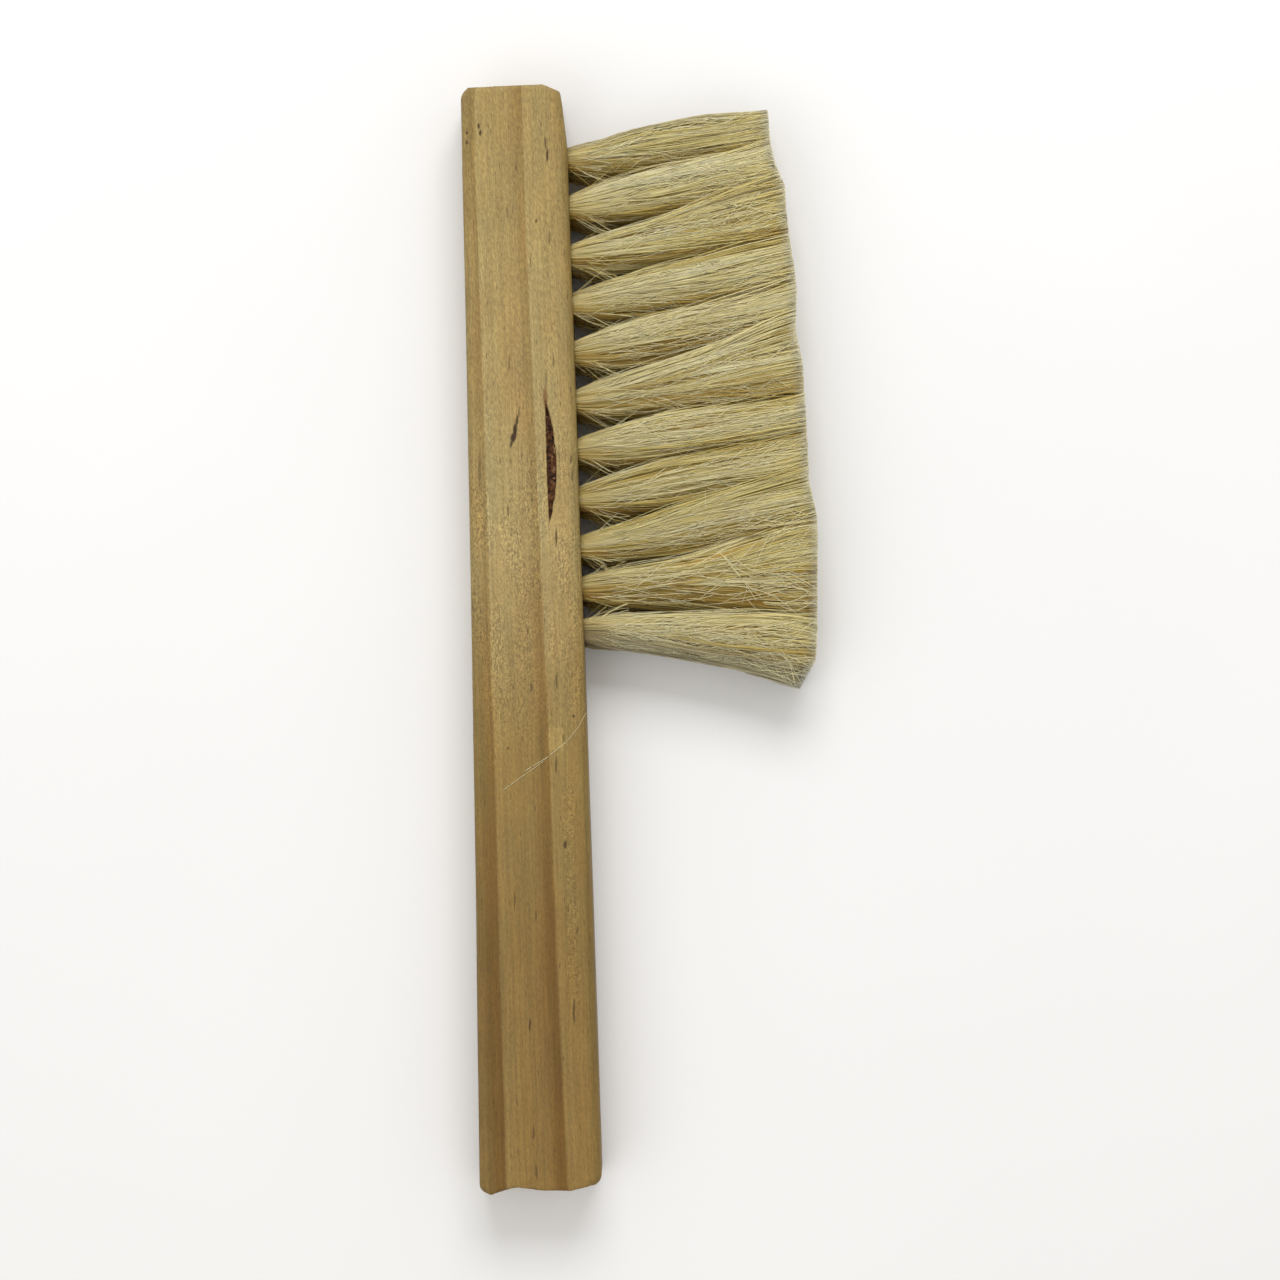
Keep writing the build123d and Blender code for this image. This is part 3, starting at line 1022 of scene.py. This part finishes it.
def tubes(paths, radii):
    """Thin three-sided tubes along the paths, closed at both ends: vertices and faces."""
    count, rings, _ = paths.shape
    ahead = np.gradient(paths, axis=1)
    ahead /= np.linalg.norm(ahead, axis=2, keepdims=True)
    side = np.cross(ahead, [0, 0, 1.0])
    side /= np.linalg.norm(side, axis=2, keepdims=True)
    over = np.cross(side, ahead)
    taper = np.linspace(0.85, 1.0, rings)
    taper[-1] = 0.75
    thick = (radii[:, None] * taper)[..., None]
    corners = []
    for corner in range(3):
        angle = 2 * math.pi * corner / 3 + math.pi / 2
        corners.append(paths + thick * (math.cos(angle) * side + math.sin(angle) * over))
    verts = np.stack(corners, axis=2).reshape(-1, 3)
    first = (np.arange(count) * rings * 3)[:, None]
    base = first[:, :, None] + (np.arange(rings - 1) * 3)[None, :, None]
    corner = np.arange(3)[None, None, :]
    after = (corner + 1) % 3
    quads = np.stack([base + corner, base + corner + 3, base + after + 3, base + after], axis=3)
    ends = np.concatenate([first + [[0, 1, 2]], first + (rings - 1) * 3 + [[0, 2, 1]]])
    return verts, quads.reshape(-1, 4), ends


def core_shell(tuft):
    """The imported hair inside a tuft: its skin's vertices and faces, and their way along and round.

    The skin is open at both ends: in the hole, and narrowly at its tip, inside the hair.
    """
    turn = np.arange(CORE_AROUND) / CORE_AROUND
    angle = np.arange(CORE_AROUND) * 2 * math.pi / CORE_AROUND
    t = np.linspace(0, CORE_LENGTH, CORE_STEPS)
    size = CORE_SIZE * np.minimum(1, np.sqrt((1.0 - t / CORE_LENGTH) / 0.08))
    size[-1] = 0.05
    spot = np.stack([np.cos(angle), np.sin(angle)], axis=1)[None, :, :] * size[:, None, None]
    grid = t[:, None] * np.ones((1, CORE_AROUND))
    y, z = in_tuft(tuft, grid, spot)
    x = reach_x(trimmed_x(y), grid)
    verts = np.stack([x, y, z], axis=2).reshape(-1, 3)
    base = (np.arange(CORE_STEPS - 1) * CORE_AROUND)[:, None]
    here = base + np.arange(CORE_AROUND)[None, :]
    after = base + (np.arange(CORE_AROUND)[None, :] + 1) % CORE_AROUND
    quads = np.stack([here, after, after + CORE_AROUND, here + CORE_AROUND], axis=2)
    return verts, quads.reshape(-1, 4), grid.ravel(), np.tile(turn, CORE_STEPS)


def hair_mesh(name, tuft, groups):
    """One mesh of hairs, and of a tuft's core, with each point's tone, strand and way along."""
    # Hairs of like tone share a strip of the baked picture. Single hairs take the palest ones.
    tones = np.concatenate([group[2] for group in groups])
    first = 0 if tuft else STRIPS - len(tones)
    strip = np.empty(len(tones), int)
    strip[np.argsort(tones)] = first + np.arange(len(tones)) * (STRIPS - first) // len(tones)
    verts, quads, ends, along, strands = [], [], [], [], []
    total = 0
    for paths, radii, _, group_along in groups:
        count, rings, _ = paths.shape
        more_verts, more_quads, more_ends = tubes(paths, radii)
        verts.append(more_verts)
        quads.append(more_quads + total)
        ends.append(more_ends + total)
        total += len(more_verts)
        along.append(np.repeat(group_along.ravel(), 3))
        strands.append(np.repeat(strip[:count], rings * 3))
        strip = strip[count:]
    along = np.concatenate(along)
    strand = np.concatenate(strands)
    tone = (strand + 0.5) / STRIPS
    u = (strand % 2 + 0.02 + 0.96 * along) / 2
    across = np.tile([0.2, 0.5, 0.8], len(strand) // 3)
    v = (strand // 2 + across) / (STRIPS / 2) * CORE_BAND

    if tuft:
        core_verts, core_quads, core_along, core_around = core_shell(tuft)
        verts.append(core_verts)
        quads.append(core_quads + total)
        # The core takes that dark tone, painted shade inside the tuft
        tone = np.concatenate([tone, np.full(len(core_verts), CORE_SHADE_TONE)])
        strand = np.concatenate([strand, core_around * CORE_STRANDS])
        along = np.concatenate([along, core_along])
        u = np.concatenate([u, core_along])
        v = np.concatenate([v, CORE_BAND + (1 - CORE_BAND) * (0.1 + 0.8 * core_around)])
    verts = np.concatenate(verts)
    quads = np.concatenate(quads)
    ends = np.concatenate(ends)

    mesh = bpy.data.meshes.new(name)
    mesh.vertices.add(len(verts))
    mesh.vertices.foreach_set("co", verts.ravel())
    loops = np.concatenate([quads.ravel(), ends.ravel()])
    sizes = np.concatenate([np.full(len(quads), 4), np.full(len(ends), 3)])
    mesh.loops.add(len(loops))
    mesh.loops.foreach_set("vertex_index", loops)
    mesh.polygons.add(len(sizes))
    mesh.polygons.foreach_set("loop_start", np.cumsum(sizes) - sizes)
    mesh.polygons.foreach_set("use_smooth", np.ones(len(sizes), bool))
    mesh.update(calc_edges=True)
    add_attribute(mesh, "tone", tone)
    add_attribute(mesh, "strand", strand)
    add_attribute(mesh, "along", along)
    places = np.stack([u, v], axis=1)[loops]
    mesh.uv_layers.new(name="OFBake").data.foreach_set("uv", places.ravel())
    mesh.validate()
    return mesh


def open_side(number, count):
    """1 if a tuft has no neighbour on its upper side, -1 if none on its lower side, else 0."""
    if number == 0:
        return 1.0
    if number == count - 1:
        return -1.0
    return 0.0


def lean_limits(side):
    """How far hairs may lean down and up the bar, in metres: hardly at all out of an open side."""
    lowest = -0.4 * MM if side < 0 else -7 * MM
    highest = 0.2 * MM if side > 0 else 7 * MM
    return lowest, highest


def build_tufts(material):
    for row in ("upper", "lower"):
        names = sorted(name for name in nodes if name.startswith("tuft_" + row))
        tufts = [tuft_places(name) for name in names]
        gaps = [a["root"][0] - b["root"][0] for a, b in zip(tufts, tufts[1:])]
        pitches = [gaps[0]] + [(a + b) / 2 for a, b in zip(gaps, gaps[1:])] + [gaps[-1]]
        makers = [outer_paths, inner_paths, fuzz_paths]
        if row == "upper":
            makers.append(crossing_paths)
        for number, (name, tuft, pitch) in enumerate(zip(names, tufts, pitches)):
            rng = np.random.default_rng(100 * (row == "lower") + number)
            tuft["row"] = row
            tuft["body"] = pitch / 2 * rng.uniform(0.97, 1.07)
            if number == len(tufts) - 2:
                tuft["body"] *= BEFORE_LAST
            tuft["open_side"] = open_side(number, len(tufts))
            tuft["lean"] = lean_limits(tuft["open_side"])
            tuft["rising"] = RISING.get(name, 0.0)
            piece_name = name.replace("tuft", "hair")
            groups = [make(tuft, rng) for make in makers]
            mesh = hair_mesh(piece_name, tuft, groups)
            mesh.materials.append(material)
            piece = new_object(piece_name, mesh)
            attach(piece, "root")
            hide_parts(name)


def build_shed_hairs(material):
    """A few single hairs that lie loose on the bar and on the tufts."""
    groups = []
    for points, height in SHED_HAIRS:
        points = np.array(points) * MM
        gone = np.concatenate([[0], np.cumsum(np.linalg.norm(np.diff(points, axis=0), axis=1))])
        t = np.linspace(0, 1, 2 * RINGS)
        path = np.stack([np.interp(t * gone[-1], gone, points[:, i]) for i in (0, 1)], axis=1)
        for _ in range(3):
            path[1:-1] = (path[:-2] + 2 * path[1:-1] + path[2:]) / 4
        path = np.column_stack([path, np.full(len(t), height * MM)])
        radii = np.array([SHED_THICKNESS * HAIR_RADIUS])
        tones = np.array([1.0])
        groups.append((path[None], radii, tones, t[None]))
    mesh = hair_mesh("shed_hairs", None, groups)
    mesh.materials.append(material)
    piece = new_object("shed_hairs", mesh)
    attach(piece, "root")


hair = hair_material()
build_tufts(hair)
build_shed_hairs(hair)


# ---------------- wire anchors


def wire_material():
    look = Tree("wire_drawn")
    marks = look.noise(look.place(), 900.0, 3.0)
    colour = look.ramp(marks, [(0.3, (0.42, 0.42, 0.42)), (0.7, (0.60, 0.60, 0.59))])
    rough = look.span(marks, 0.3, 0.7, 0.3, 0.45)
    look.surface(Base_Color=colour, Metallic=1.0, Roughness=rough)
    look.bump(marks, 0.2, 0.00005)
    return look.material


wire = wire_material()
for material_slot in nodes["anchor_staples"].material_slots:
    material_slot.material = wire
